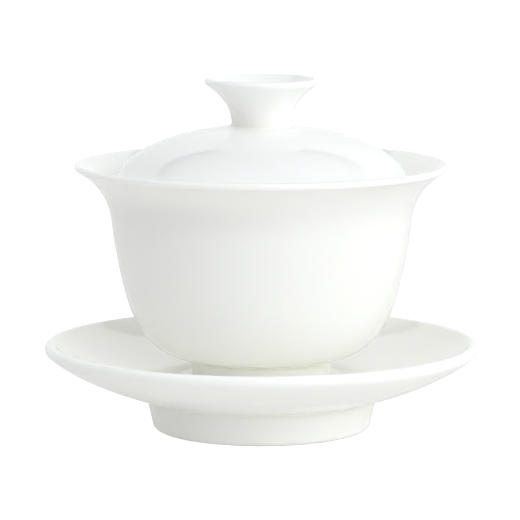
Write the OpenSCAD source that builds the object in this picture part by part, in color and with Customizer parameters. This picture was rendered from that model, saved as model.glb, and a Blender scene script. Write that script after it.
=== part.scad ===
// Gaiwan: a lidded porcelain tea bowl on its own saucer.
// Three loose pieces, each one turned about the Z axis: the saucer, the bowl and the lid.
// The origin is the middle of the saucer's foot, on the table. Lengths are in millimetres.

/* [Saucer] */
// Diameter over the saucer's lip
saucer_d = 111; // [107:1:115]
// Height of the saucer's lip above the table
saucer_h = 22.4; // [21:0.2:24]
// Thickness of the saucer's rounded lip
saucer_lip = 3; // [2.4:0.2:3.4]
// Diameter of the saucer's foot ring near the table
saucer_foot_d = 56; // [53:1:58]
// Height of the flat seat that the bowl stands on
seat_h = 13; // [12.4:0.2:13.4]
// Diameter of the flat seat inside its shallow step
seat_d = 37.6; // [37:0.2:39]

/* [Bowl] */
// Diameter over the bowl's flared mouth
mouth_d = 95.2; // [93:0.4:98]
// Height of the bowl alone, from its foot to its lip
bowl_h = 55.4; // [54:0.2:57]
// Thickness of the bowl's rounded lip
bowl_lip = 1.8; // [1.6:0.2:2.2]
// Diameter of the waist, where the flare starts
waist_d = 76.8; // [75:0.2:78]
// Height of the waist above the bowl's foot
waist_h = 41; // [40:0.2:42]
// Diameter of the belly, where the wall turns in
belly_d = 66.8; // [66:0.2:69]
// Height of the belly above the bowl's foot
belly_h = 17.6; // [17:0.2:19]
// Thickness of the bowl's wall at the bottom
bowl_base = 3.4; // [3:0.1:3.8]
// Diameter of the bowl's foot ring under the belly
bowl_foot_d = 36.6; // [35.4:0.2:37]
// Height of the bowl's foot ring
bowl_foot_h = 5.6; // [5.2:0.1:6]

/* [Lid] */
// Diameter over the lid's edge
lid_d = 77.7; // [76:0.1:78]
// Thickness of the lid's rounded edge
lid_edge = 2.2; // [2:0.1:2.4]
// Height of the dome, from the middle of its edge to the neck of the knob
dome_h = 15.4; // [14.5:0.1:17]
// Diameter over the knob's rim
knob_d = 29; // [27:0.2:31]
// Height of the knob above the dome
knob_h = 12.3; // [11.5:0.1:14]
// Diameter of the knob's neck
neck_d = 15.4; // [14:0.2:16]
// Depth of the hollow in the top of the knob
knob_hollow = 8.4; // [7:0.1:8.6]

/* [Hidden] */
$fn = 180;

// Room left between the lid's edge and the bowl's wall, which touch on the real pieces
seat_gap = 0.2;

// Angle and length that one straight step of an arc and of a curve covers
arc_step = 12;
curve_step = 1.6;

saucer_color = [0.93, 0.93, 0.91];
bowl_color = [0.95, 0.95, 0.92];
lid_color = [0.96, 0.97, 0.96];

// Points along a circular arc about c, from angle a0 to angle a1
function arc(c, r, a0, a1) =
    let (steps = ceil(abs(a1 - a0) / arc_step))
    [for (i = [0 : steps]) let (a = a0 + (a1 - a0) * i / steps) c + r * [cos(a), sin(a)]];

// Points along a smooth curve that leaves a at one angle and reaches b at another.
// Each pull is the length of the curve's handle at that end, as a share of the span from a to b.
function curve(a, leave, b, reach, pulls = [0.42, 0.42]) =
    let (
        span = norm(b - a),
        steps = ceil(span / curve_step) + 3,
        p = a + pulls[0] * span * [cos(leave), sin(leave)],
        q = b - pulls[1] * span * [cos(reach), sin(reach)])
    [for (i = [0 : steps]) let (t = i / steps, s = 1 - t)
        s * s * s * a + 3 * s * s * t * p + 3 * s * t * t * q + t * t * t * b];

// The ends of a rounded lip about c: where the surface below it arrives, rising outward at one
// angle, and where the surface above it leaves, falling inward at another
function lip_under(c, r, angle) = c + r * [sin(angle), -cos(angle)];
function lip_top(c, r, angle) = c + r * [-sin(angle), cos(angle)];

// Unit vector square to a path at point i, to the left of its direction
function left_of(path, i) =
    let (d = path[min(i + 1, len(path) - 1)] - path[max(i - 1, 0)])
    [-d[1], d[0]] / norm(d);

// A rising path moved to its left, by a distance that goes from d0 to d1 as the path rises
function moved(path, d0, d1) =
    let (low = path[0][1], rise = path[len(path) - 1][1] - low)
    [for (i = [0 : len(path) - 1])
        path[i] + left_of(path, i) * (d0 + (d1 - d0) * (path[i][1] - low) / rise)];

// A list with its order turned round, and a list without its first item
function turned(list) = [for (i = [len(list) - 1 : -1 : 0]) list[i]];
function rest(list) = [for (i = [1 : len(list) - 1]) list[i]];

// Outline of the hollow under a foot, from the axis out to the inner edge of the flat that it
// stands on. r is the hollow's radius at the bottom, h its height, and its wall leans in or out
// by lean as it rises.
function foot_hollow(r, h, lean, fillet, edge_round) =
    concat([[0, h]],
        arc([r + lean - fillet, h - fillet], fillet, 90, 0),
        arc([r + edge_round, edge_round], edge_round, 180, 270));

// Saucer: the outline runs from the axis under the foot, out to the lip and back over the dish
module saucer() {
    // The flat that the saucer stands on, and the hollow inside it
    foot_round = 1.9;
    foot_flat = 2.4;
    edge_round = 0.8;
    hollow_lean = 0.4;
    hollow_fillet = 2.5;
    seat_thick = 4.2;
    foot_r = saucer_foot_d / 2;
    hollow_r = foot_r - foot_round - foot_flat - edge_round;

    // The foot's wall, which leans out to a cove under the dish
    wall_angle = 77;
    wall_h = 7.2;
    cove = [1.5, 1.4];
    wall_start = [foot_r - foot_round, foot_round] + foot_round * [sin(wall_angle), -cos(wall_angle)];
    wall_top = [wall_start[0] + (wall_h - wall_start[1]) / tan(wall_angle), wall_h];
    under_start = wall_top + cove;

    // The underside rises slowly at first and steeply at the lip; the dish falls the same way
    cove_angle = 14.7;
    under_angle = 46;
    under_pulls = [0.51, 0.11];
    dish_angle = 42;
    dish_pulls = [0.18, 0.45];
    lip_r = saucer_lip / 2;
    lip_c = [saucer_d / 2 - lip_r, saucer_h - lip_r];

    // The shallow step round the seat, which keeps the bowl in place
    step = [2.4, 0.5];
    seat_edge = [seat_d / 2, seat_h];

    foot = concat(
        arc([foot_r - foot_round, foot_round], foot_round, -90, wall_angle - 90),
        curve(wall_top, wall_angle, under_start, cove_angle));
    under = curve(under_start, cove_angle, lip_under(lip_c, lip_r, under_angle), under_angle,
        under_pulls);
    lip = arc(lip_c, lip_r, under_angle - 90, dish_angle + 90);
    dish = curve(lip_top(lip_c, lip_r, dish_angle), dish_angle + 180, seat_edge + step, 180,
        dish_pulls);
    seat = concat(curve(seat_edge + step, 180, seat_edge, 180), [[0, seat_h]]);

    color(saucer_color)
        rotate_extrude()
            polygon(concat(
                foot_hollow(hollow_r, seat_h - seat_thick, hollow_lean, hollow_fillet, edge_round),
                foot, rest(under), rest(lip), rest(dish), rest(seat)));
}

// Centre and radius of the bowl's rounded lip, above the bowl's own foot
bowl_lip_r = bowl_lip / 2;
bowl_lip_c = [mouth_d / 2 - bowl_lip_r, bowl_h - bowl_lip_r];

// Angles of the bowl's wall at the belly, at the waist and where the flare reaches the lip
belly_angle = 67.6;
waist_angle = 84.3;
flare_angle = 29;

// Outside of the bowl above its foot: level out of the foot, round the belly, up to the waist
// and out along the flare
bowl_outside =
    let (
        start = [bowl_foot_d / 2, bowl_foot_h],
        belly = [belly_d / 2, belly_h],
        waist = [waist_d / 2, waist_h],
        belly_pulls = [0.36, 0.41],
        wall_pulls = [0.2, 0.31],
        flare_pulls = [0.38, 0.35])
    concat(
        curve(start, 0, belly, belly_angle, belly_pulls),
        rest(curve(belly, belly_angle, waist, waist_angle, wall_pulls)),
        rest(curve(waist, waist_angle, lip_under(bowl_lip_c, bowl_lip_r, flare_angle), flare_angle,
            flare_pulls)));

// Bowl: the outline runs from the axis under the foot, up the outside and down the inside
module bowl() {
    // The foot ring, a little narrower at the table than under the belly
    foot_taper = 0.5;
    foot_round = 0.7;
    foot_flat = 1.3;
    edge_round = 0.6;
    hollow_h = 4.8;
    hollow_lean = -0.3;
    hollow_fillet = 2.6;
    foot_r = bowl_foot_d / 2 - foot_taper;
    hollow_r = foot_r - foot_round - foot_flat - edge_round;

    // The fine groove where the foot meets the belly, and the foot's wall as it turns in to it
    groove = [0.25, 0.45];
    turn_in = 0.1;
    turn_angle = 95;
    foot_top = [bowl_foot_d / 2 - turn_in, bowl_foot_h - 2 * groove[1]];
    groove_bottom = [bowl_foot_d / 2, bowl_foot_h] - groove;

    // Inside, the wall thins from the base to the lip, and the floor dishes a little to its middle
    inside = turned(moved(bowl_outside, bowl_base, bowl_lip));
    floor_dip = 0.5;
    floor_middle = [0, bowl_foot_h + bowl_base - floor_dip];
    floor_edge = inside[len(inside) - 1];

    foot = concat(
        arc([foot_r - foot_round, foot_round], foot_round, -90, 0),
        curve(foot_top, turn_angle, groove_bottom, 90));
    lip = arc(bowl_lip_c, bowl_lip_r, flare_angle - 90, flare_angle + 90);
    floor = curve(floor_edge, 180, floor_middle, 180);

    color(bowl_color)
        translate([0, 0, seat_h])
            rotate_extrude()
                polygon(concat(
                    foot_hollow(hollow_r, hollow_h, hollow_lean, hollow_fillet, edge_round),
                    foot, bowl_outside, rest(lip), rest(inside), rest(floor)));
}

// Height at which the middle of the lid's edge comes to rest, found on the line that runs
// inside the bowl's wall at the edge's own radius plus the gap
edge_r = lid_edge / 2;
lid_h = seat_h + lookup(lid_d / 2 - edge_r,
    moved(bowl_outside, bowl_base + edge_r + seat_gap, bowl_lip + edge_r + seat_gap));

// Lid: the outline runs from the axis inside the dome, round the edge, up to the knob's rim
// and down into the knob's hollow. Heights are above the middle of the lid's edge.
module lid() {
    // The dome, thicker in the middle than at its edge
    edge_c = [lid_d / 2 - edge_r, 0];
    edge_angle = 23.7;
    top_angle = 173.5;
    dome_pulls = [0.28, 0.49];
    dome_thick = 3.2;
    inside_rise = 0.5;

    // The neck of the knob, with a small fillet at the dome
    neck_r = neck_d / 2;
    neck_fillet = 1;
    dome_end = [neck_r + neck_fillet, dome_h];
    neck_start = [neck_r, dome_h + neck_fillet];

    // The flare of the knob, its rounded rim and the hollow in its top
    rim_r = 0.9;
    rim_c = [knob_d / 2 - rim_r, dome_h + knob_h - rim_r];
    rim_angle = 36.4;
    knob_pulls = [0.38, 0.345];
    hollow_pulls = [0.32, 0.32];

    dome = curve(edge_c + edge_r * [cos(edge_angle), sin(edge_angle)], edge_angle + 90,
        dome_end, top_angle, dome_pulls);
    under_dome = turned(moved(dome, lid_edge, dome_thick));
    inner_top = [0, under_dome[0][1] + inside_rise];
    under_top = curve(inner_top, 0, under_dome[0], top_angle - 180);
    edge = arc(edge_c, edge_r, edge_angle - 180, edge_angle);
    neck = curve(dome_end, top_angle, neck_start, 90);
    knob = curve(neck_start, 90, lip_under(rim_c, rim_r, rim_angle), rim_angle, knob_pulls);
    rim = arc(rim_c, rim_r, rim_angle - 90, rim_angle + 90);
    hollow = curve(lip_top(rim_c, rim_r, rim_angle), rim_angle + 180,
        [0, dome_h + knob_h - knob_hollow], 180, hollow_pulls);

    color(lid_color)
        translate([0, 0, lid_h])
            rotate_extrude()
                polygon(concat(under_top, rest(under_dome), rest(edge), rest(dome), rest(neck),
                    rest(knob), rest(rim), rest(hollow)));
}

saucer();
bowl();
lid();
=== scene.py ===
"""A white porcelain gaiwan in a light tent: saucer, bowl and lid turned about one axis.

Each piece is turned again as a fine mesh on the outline of its own CAD node, so its size and place
are the frame's. Lengths are in metres."""

import math

import bmesh
import bpy
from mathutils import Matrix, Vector


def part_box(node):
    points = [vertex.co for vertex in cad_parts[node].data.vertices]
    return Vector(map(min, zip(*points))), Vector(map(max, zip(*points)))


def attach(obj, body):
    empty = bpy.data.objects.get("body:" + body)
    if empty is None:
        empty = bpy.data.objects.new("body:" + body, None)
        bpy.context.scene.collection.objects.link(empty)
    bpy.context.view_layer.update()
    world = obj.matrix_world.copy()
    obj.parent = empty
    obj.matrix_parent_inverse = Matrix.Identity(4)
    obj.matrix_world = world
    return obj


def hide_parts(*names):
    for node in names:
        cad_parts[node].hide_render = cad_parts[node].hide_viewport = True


MM = 0.001
# Two points nearer than this are one point
TOUCH = 1e-6

# Fineness of the turned meshes: steps round the axis, spacing along the outline, and the least
# bend that stays a corner
TURNS = 240
SPACING = 0.45 * MM
CORNER = math.radians(32)

# Firing leaves each piece very slightly out of round and out of level: the most, as a share of its
# radius, and the parts of that which are oval and three-sided
WARP = 0.0009
OVAL = 0.5
THREE_SIDED = 0.3

# Each piece: the phase of its warp, and the colour of its glaze at the usual depth
PIECES = {
    "saucer": (0.4, (0.932, 0.937, 0.902)),
    "bowl": (1.9, (0.950, 0.948, 0.918)),
    "lid": (3.1, (0.950, 0.954, 0.950)),
}
# What the glaze's colour is multiplied by: where it is thin on convex lips, partly thin glaze and
# partly a painted cool highlight; where it has pooled in concave corners, partly pooled glaze and
# partly painted shade
THIN_GLAZE_AND_SHEEN = (1.01, 1.01, 1.03)
POOLED_GLAZE_AND_SHADE = (0.990, 0.970, 0.900)
# The depth, from 0 thin to 1 pooled, at which a piece has its own colour, and how far it drifts
USUAL_DEPTH = 0.45
DEPTH_DRIFT = 0.07

# How far along the outline the glaze, with its painted highlight and shade, evens out, and the
# curvature,
# # one over a radius, at which it is thinnest or thickest
GLAZE_RUN = 1.3 * MM
GLAZE_CURVE = 900.0
# Height of the bare clay band where a foot ring or the lid's edge stood in the kiln
BARE_BAND = 0.35 * MM

# Light tent. Each soft panel has an azimuth from the front toward the right, a height, both in
# degrees, and a brightness; it fades out at PANEL_REACH degrees from its middle.
TENT_TINT = (0.985, 1.0, 1.0)
PANELS = {
    "key": (42, 12, 2.08),
    "key_top": (45, 47, 0.80),
    "right": (92, 12, 0.34),
    "left_top": (298, 52, 1.1),
}
PANEL_REACH = 50
# Behind the set: a white backdrop up to one height in degrees, a dark gap, and the top panel, which
# is soft from its lower edge up to the height where it is full. They fade in from the sides, and
# are full where the direction points this far back.
FULL_BEHIND = 0.35
BACKDROP = 1.0
TOP_PANEL = 0.50
BACKDROP_TOP = 40
TOP_PANEL_FROM = 42.5
TOP_PANEL_FULL = 50
# The floor: half its side, its grey, and its glow as the pieces and as the lens see it. The lens
# sees it white but for a faint shadow.
FLOOR_HALF = 6.0
FLOOR_GREY = 0.6
FLOOR_GLOW = 0.285
FLOOR_WHITE = 0.8
# Times that light goes back and forth between the white pieces
BOUNCES = 12

# Camera: its distance, height, tilt and lens give the photograph's view of the set
CAMERA_DISTANCE = 0.9087
CAMERA_HEIGHT = 0.1677
CAMERA_TILT = math.radians(7.79)
CAMERA_SIDE = -0.0004
CAMERA_LENS = 248.5

# ---------------------------------------------------------------- outlines

def seam(node):
    """Edges of a CAD node's mesh along its outline at +X, as pairs of (radius, height) points."""
    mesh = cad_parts[node].data
    pairs = []
    for edge in mesh.edges:
        a, b = (mesh.vertices[i].co for i in edge.vertices)
        at_seam = abs(a.y) < TOUCH and abs(b.y) < TOUCH
        if at_seam and min(a.x, b.x) > -TOUCH and (a - b).length > 2 * TOUCH:
            pairs.append(((max(a.x, 0.0), a.z), (max(b.x, 0.0), b.z)))
    return pairs


def outline(node):
    """A CAD node's outline as (radius, height) points, from the axis underneath to the axis on top."""
    def key(p):
        return round(p[0] / TOUCH), round(p[1] / TOUCH)

    place = {}
    links = {}
    for a, b in seam(node):
        place[key(a)] = a
        place[key(b)] = b
        links.setdefault(key(a), set()).add(key(b))
        links.setdefault(key(b), set()).add(key(a))
    ends = [k for k in links if len(links[k]) == 1]
    path = [min(ends, key=lambda k: k[1])]
    while path[-1] not in ends or len(path) == 1:
        path.append(next(k for k in links[path[-1]] if k not in path[-2:]))
    points = [Vector(place[k]) for k in path]
    if points[0].x:
        points.insert(0, Vector((0, points[0].y)))
    if points[-1].x:
        points.append(Vector((0, points[-1].y)))
    return points


def refine(points):
    """The outline with its rounded stretches as smooth curves and its corners kept, evenly spaced."""
    count = len(points)
    slopes = []
    for i, p in enumerate(points):
        back = p - points[max(i - 1, 0)]
        ahead = points[min(i + 1, count - 1)] - p
        if back.length and ahead.length and back.angle(ahead) > CORNER:
            slopes.append((back.normalized(), ahead.normalized()))
        elif back.length and ahead.length:
            mean = (back + ahead).normalized()
            slopes.append((mean, mean))
        else:
            end = (ahead if ahead.length else back).normalized()
            slopes.append((end, end))
    fine = []
    for i in range(count - 1):
        a, b = points[i], points[i + 1]
        reach = (b - a).length
        leave, arrive = slopes[i][1] * reach, slopes[i + 1][0] * reach
        steps = max(1, round(reach / SPACING))
        for k in range(steps):
            t = k / steps
            fine.append(
                a * (2 * t ** 3 - 3 * t ** 2 + 1) + leave * (t ** 3 - 2 * t ** 2 + t)
                + b * (3 * t ** 2 - 2 * t ** 3) + arrive * (t ** 3 - t ** 2))
    fine.append(points[-1])
    return fine


def glaze_and_shade_depth(fine):
    """How deep the glaze lies along an outline, from its curvature: 0 thin on a convex lip, 1 pooled in
    a concave corner. The same depth places the painted cool highlight on lips and the painted shade in
    corners.
    """
    along = [0.0]
    for a, b in zip(fine, fine[1:]):
        along.append(along[-1] + (b - a).length)
    turn = [0.0] * len(fine)
    for i in range(1, len(fine) - 1):
        back, ahead = fine[i] - fine[i - 1], fine[i + 1] - fine[i]
        turn[i] = math.atan2(back.cross(ahead), back.dot(ahead))
    depth = []
    for here in along:
        bend = sum(
            t * math.exp(-((here - there) / GLAZE_RUN) ** 2 / 2)
            for there, t in zip(along, turn) if abs(here - there) < 4 * GLAZE_RUN)
        curve = bend / (GLAZE_RUN * math.sqrt(2 * math.pi))
        depth.append(min(1.0, max(0.0, 0.5 - curve / (2 * GLAZE_CURVE))))
    return depth


def turned(node, phase, bare_top, materials):
    """A fine mesh turned on a CAD node's outline, in glaze above the height bare_top and clay below."""
    fine = refine(outline(node))
    depth = glaze_and_shade_depth(fine)
    widest = max(p.x for p in fine)
    bm = bmesh.new()
    # Glaze depth at each vertex, which also places the painted lip highlight and the painted corner
    # shade
    layer = bm.verts.layers.float.new("glaze")
    rings = []
    for p, g in zip(fine, depth):
        ring = []
        for k in range(TURNS if p.x else 1):
            a = 2 * math.pi * k / TURNS
            out = OVAL * math.cos(2 * a + phase) + THREE_SIDED * math.cos(3 * a + 2 * phase)
            up = math.cos(2 * a - phase) * p.x / widest if p.y > TOUCH else 0
            r = p.x * (1 + WARP * out)
            z = p.y + WARP * p.x * up
            vert = bm.verts.new((r * math.cos(a), r * math.sin(a), z))
            vert[layer] = g
            ring.append(vert)
        rings.append(ring)
    for i, (low, high) in enumerate(zip(rings, rings[1:])):
        clay = int((fine[i].y + fine[i + 1].y) / 2 < bare_top)
        for k in range(TURNS):
            n = (k + 1) % TURNS
            corners = [low[k % len(low)], low[n % len(low)], high[n % len(high)], high[k % len(high)]]
            face = bm.faces.new(list(dict.fromkeys(corners)))
            face.material_index = clay
            face.smooth = True
    bmesh.ops.recalc_face_normals(bm, faces=bm.faces)
    mesh = bpy.data.meshes.new(node)
    bm.to_mesh(mesh)
    bm.free()
    for material in materials:
        mesh.materials.append(material)
    piece = bpy.data.objects.new("porcelain_" + node, mesh)
    bpy.context.scene.collection.objects.link(piece)
    return piece


# ---------------------------------------------------------------- materials

def link(tree, source, target):
    """Joins two sockets of a node tree."""
    tree.links.new(source, target)


def blank_material(name):
    """A new node material, with its tree and its Principled shader."""
    material = bpy.data.materials.new(name)
    material.use_nodes = True
    tree = material.node_tree
    return material, tree, tree.nodes["Principled BSDF"]


def noise(tree, scale, detail, rough=0.5):
    """A noise pattern fixed to the piece, with features 1/scale metres across."""
    coords = tree.nodes.new("ShaderNodeTexCoord")
    pattern = tree.nodes.new("ShaderNodeTexNoise")
    pattern.inputs["Scale"].default_value = scale
    pattern.inputs["Detail"].default_value = detail
    pattern.inputs["Roughness"].default_value = rough
    link(tree, coords.outputs["Object"], pattern.inputs["Vector"])
    return pattern.outputs["Fac"]


def spread(tree, value, low, high, start=0.3, end=0.7):
    """A value between start and end, spread between low and high."""
    ranged = tree.nodes.new("ShaderNodeMapRange")
    ranged.inputs["From Min"].default_value = start
    ranged.inputs["From Max"].default_value = end
    ranged.inputs["To Min"].default_value = low
    ranged.inputs["To Max"].default_value = high
    link(tree, value, ranged.inputs["Value"])
    return ranged.outputs["Result"]


def ramp(tree, value, stops):
    """Colours along a value from 0 to 1, as (place, colour) stops."""
    ramped = tree.nodes.new("ShaderNodeValToRGB")
    elements = ramped.color_ramp.elements
    while len(elements) < len(stops):
        elements.new(0.5)
    for element, (place, colour) in zip(elements, stops):
        element.position = place
        element.color = (*colour, 1)
    link(tree, value, ramped.inputs["Fac"])
    return ramped.outputs["Color"]


def math_node(tree, operation, first, second):
    """first and second, each a socket or a number, joined by an arithmetic operation."""
    made = tree.nodes.new("ShaderNodeMath")
    made.operation = operation
    for socket, value in zip(made.inputs, (first, second)):
        if isinstance(value, (int, float)):
            socket.default_value = value
        else:
            link(tree, value, socket)
    return made.outputs[0]


def bump(tree, shader, height, distance):
    """Adds a height pattern to the shader's normal, distance metres high."""
    bumped = tree.nodes.new("ShaderNodeBump")
    bumped.inputs["Distance"].default_value = distance
    bumped.inputs["Strength"].default_value = 1
    link(tree, height, bumped.inputs["Height"])
    link(tree, bumped.outputs["Normal"], shader.inputs["Normal"])


def make_glaze(node, colour):
    """Clear gloss glaze on white porcelain: brighter and cooler on convex lips, partly thin glaze and
    partly a painted highlight, and darker and creamier in concave corners, partly pooled glaze and
    partly painted shade.
    """
    material, tree, shader = blank_material(node + "_glaze")
    depth = tree.nodes.new("ShaderNodeAttribute")
    depth.attribute_name = "glaze"
    drift = spread(tree, noise(tree, 55, 3), -DEPTH_DRIFT, DEPTH_DRIFT)
    amount = math_node(tree, "ADD", depth.outputs["Fac"], drift)
    # Painted light over the real glaze tint: brighter and cooler toward convex lips as a painted
    # highlight, darker and creamier toward concave corners as painted shade
    thin = [c * t for c, t in zip(colour, THIN_GLAZE_AND_SHEEN)]
    pooled = [c * t for c, t in zip(colour, POOLED_GLAZE_AND_SHADE)]
    tone = ramp(tree, amount, [(0.0, thin), (USUAL_DEPTH, colour), (1.0, pooled)])
    link(tree, tone, shader.inputs["Base Color"])
    link(tree, spread(tree, noise(tree, 130, 4), 0.03, 0.06), shader.inputs["Roughness"])
    shader.inputs["IOR"].default_value = 1.52
    shader.inputs["Subsurface Weight"].default_value = 0.4
    shader.inputs["Subsurface Radius"].default_value = (1.0, 0.95, 0.80)
    shader.inputs["Subsurface Scale"].default_value = 3 * MM
    swell = noise(tree, 45, 2)
    peel = math_node(tree, "MULTIPLY", noise(tree, 420, 2), 0.05)
    bump(tree, shader, math_node(tree, "ADD", swell, peel), 0.015 * MM)
    return material


def make_clay():
    """Bare fired porcelain: matt and slightly warm, with a fine grain and the turning tool's rings."""
    material, tree, shader = blank_material("bare_porcelain")
    grain = noise(tree, 2600, 3, 0.7)
    tone = math_node(tree, "ADD", math_node(tree, "MULTIPLY", grain, 0.6), noise(tree, 90, 3))
    colour = ramp(tree, spread(tree, tone, 0, 1, 0.5, 1.1), [
        (0.0, (0.700, 0.675, 0.615)), (1.0, (0.800, 0.785, 0.735))])
    link(tree, colour, shader.inputs["Base Color"])
    link(tree, spread(tree, grain, 0.62, 0.8), shader.inputs["Roughness"])
    rings = tree.nodes.new("ShaderNodeTexWave")
    rings.wave_type = "RINGS"
    rings.rings_direction = "Z"
    rings.inputs["Scale"].default_value = 900
    rings.inputs["Distortion"].default_value = 1.5
    rings.inputs["Detail"].default_value = 2
    coords = tree.nodes.new("ShaderNodeTexCoord")
    link(tree, coords.outputs["Object"], rings.inputs["Vector"])
    relief = math_node(tree, "ADD", grain, math_node(tree, "MULTIPLY", rings.outputs["Fac"], 0.5))
    bump(tree, shader, relief, 0.05 * MM)
    return material


# ---------------------------------------------------------------- pieces

def make_pieces():
    """The three pieces, each riding on its own body in place of its CAD node."""
    clay = make_clay()
    for node, (phase, colour) in PIECES.items():
        bare_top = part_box(node)[0].z + BARE_BAND
        piece = turned(node, phase, bare_top, [make_glaze(node, colour), clay])
        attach(piece, node)
        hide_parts(node)


# ---------------------------------------------------------------- studio

def make_floor():
    """A plain pale floor, a little brighter than it is lit, as in a light tent."""
    material, tree, shader = blank_material("pale_floor")
    greys = [(0.3, (FLOOR_GREY - 0.01,) * 3), (0.7, (FLOOR_GREY + 0.01,) * 3)]
    link(tree, ramp(tree, noise(tree, 8, 2), greys), shader.inputs["Base Color"])
    shader.inputs["Roughness"].default_value = 0.9
    shader.inputs["Specular IOR Level"].default_value = 0.0
    shader.inputs["Emission Color"].default_value = (1, 1, 1, 1)
    lens = tree.nodes.new("ShaderNodeLightPath").outputs["Is Camera Ray"]
    link(tree, spread(tree, lens, FLOOR_GLOW, FLOOR_WHITE, 0, 1), shader.inputs["Emission Strength"])
    mesh = bpy.data.meshes.new("floor")
    corners = [(FLOOR_HALF * x, FLOOR_HALF * y, 0) for x, y in ((-1, -1), (1, -1), (1, 1), (-1, 1))]
    mesh.from_pydata(corners, [], [(0, 1, 2, 3)])
    mesh.materials.append(material)
    floor = bpy.data.objects.new("floor", mesh)
    bpy.context.scene.collection.objects.link(floor)


def soft_panel(tree, direction, azimuth, height, brightness):
    """The brightness that one soft panel of the tent gives along a direction socket."""
    across, up = math.radians(azimuth), math.radians(height)
    level = math.cos(up)
    dot = tree.nodes.new("ShaderNodeVectorMath")
    dot.operation = "DOT_PRODUCT"
    link(tree, direction, dot.inputs[0])
    dot.inputs[1].default_value = (math.sin(across) * level, -math.cos(across) * level, math.sin(up))
    lobe = spread(tree, dot.outputs["Value"], 0, brightness, math.cos(math.radians(PANEL_REACH)), 1)
    lobe.node.interpolation_type = "SMOOTHSTEP"
    return lobe


def height_stop(degrees):
    """The place on a ramp from -1 to 1 of a direction so many degrees above level."""
    return (math.sin(math.radians(degrees)) + 1) / 2


def make_tent():
    """The light tent: soft panels round the front and sides, a backdrop and a top panel behind."""
    world = bpy.data.worlds.new("light_tent")
    bpy.context.scene.world = world
    world.use_nodes = True
    tree = world.node_tree
    direction = tree.nodes.new("ShaderNodeTexCoord").outputs["Generated"]
    parts = tree.nodes.new("ShaderNodeSeparateXYZ")
    link(tree, direction, parts.inputs[0])
    tiers = ramp(tree, spread(tree, parts.outputs["Z"], 0, 1, -1, 1), [
        (height_stop(BACKDROP_TOP), (BACKDROP,) * 3),
        (height_stop(BACKDROP_TOP + 0.5), (0,) * 3),
        (height_stop(TOP_PANEL_FROM), (0,) * 3),
        (height_stop(TOP_PANEL_FULL), (TOP_PANEL,) * 3)])
    behind = spread(tree, parts.outputs["Y"], 0, 1, 0, FULL_BEHIND)
    total = math_node(tree, "MULTIPLY", tiers, behind)
    for azimuth, height, brightness in PANELS.values():
        total = math_node(tree, "ADD", total, soft_panel(tree, direction, azimuth, height, brightness))
    background = tree.nodes["Background"]
    background.inputs["Color"].default_value = (*TENT_TINT, 1)
    link(tree, total, background.inputs["Strength"])


def make_camera():
    """The camera at the photograph's angle: level across, tilted a little down."""
    data = bpy.data.cameras.new("camera")
    data.lens = CAMERA_LENS
    data.clip_start = 0.05
    data.clip_end = 50
    camera = bpy.data.objects.new("camera", data)
    camera.location = (CAMERA_SIDE, -CAMERA_DISTANCE, CAMERA_HEIGHT)
    camera.rotation_euler = (math.pi / 2 - CAMERA_TILT, 0, 0)
    bpy.context.scene.collection.objects.link(camera)
    bpy.context.scene.camera = camera


# ---------------------------------------------------------------- the scene

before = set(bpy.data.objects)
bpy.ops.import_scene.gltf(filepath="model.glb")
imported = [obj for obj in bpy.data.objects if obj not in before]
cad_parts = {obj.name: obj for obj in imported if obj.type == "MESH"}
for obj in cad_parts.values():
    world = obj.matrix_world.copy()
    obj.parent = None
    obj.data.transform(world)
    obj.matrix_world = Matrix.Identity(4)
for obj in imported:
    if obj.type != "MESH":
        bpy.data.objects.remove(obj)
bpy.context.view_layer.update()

make_pieces()
make_floor()
make_tent()
make_camera()
bpy.context.scene.view_settings.view_transform = "Standard"
bpy.context.scene.cycles.diffuse_bounces = BOUNCES
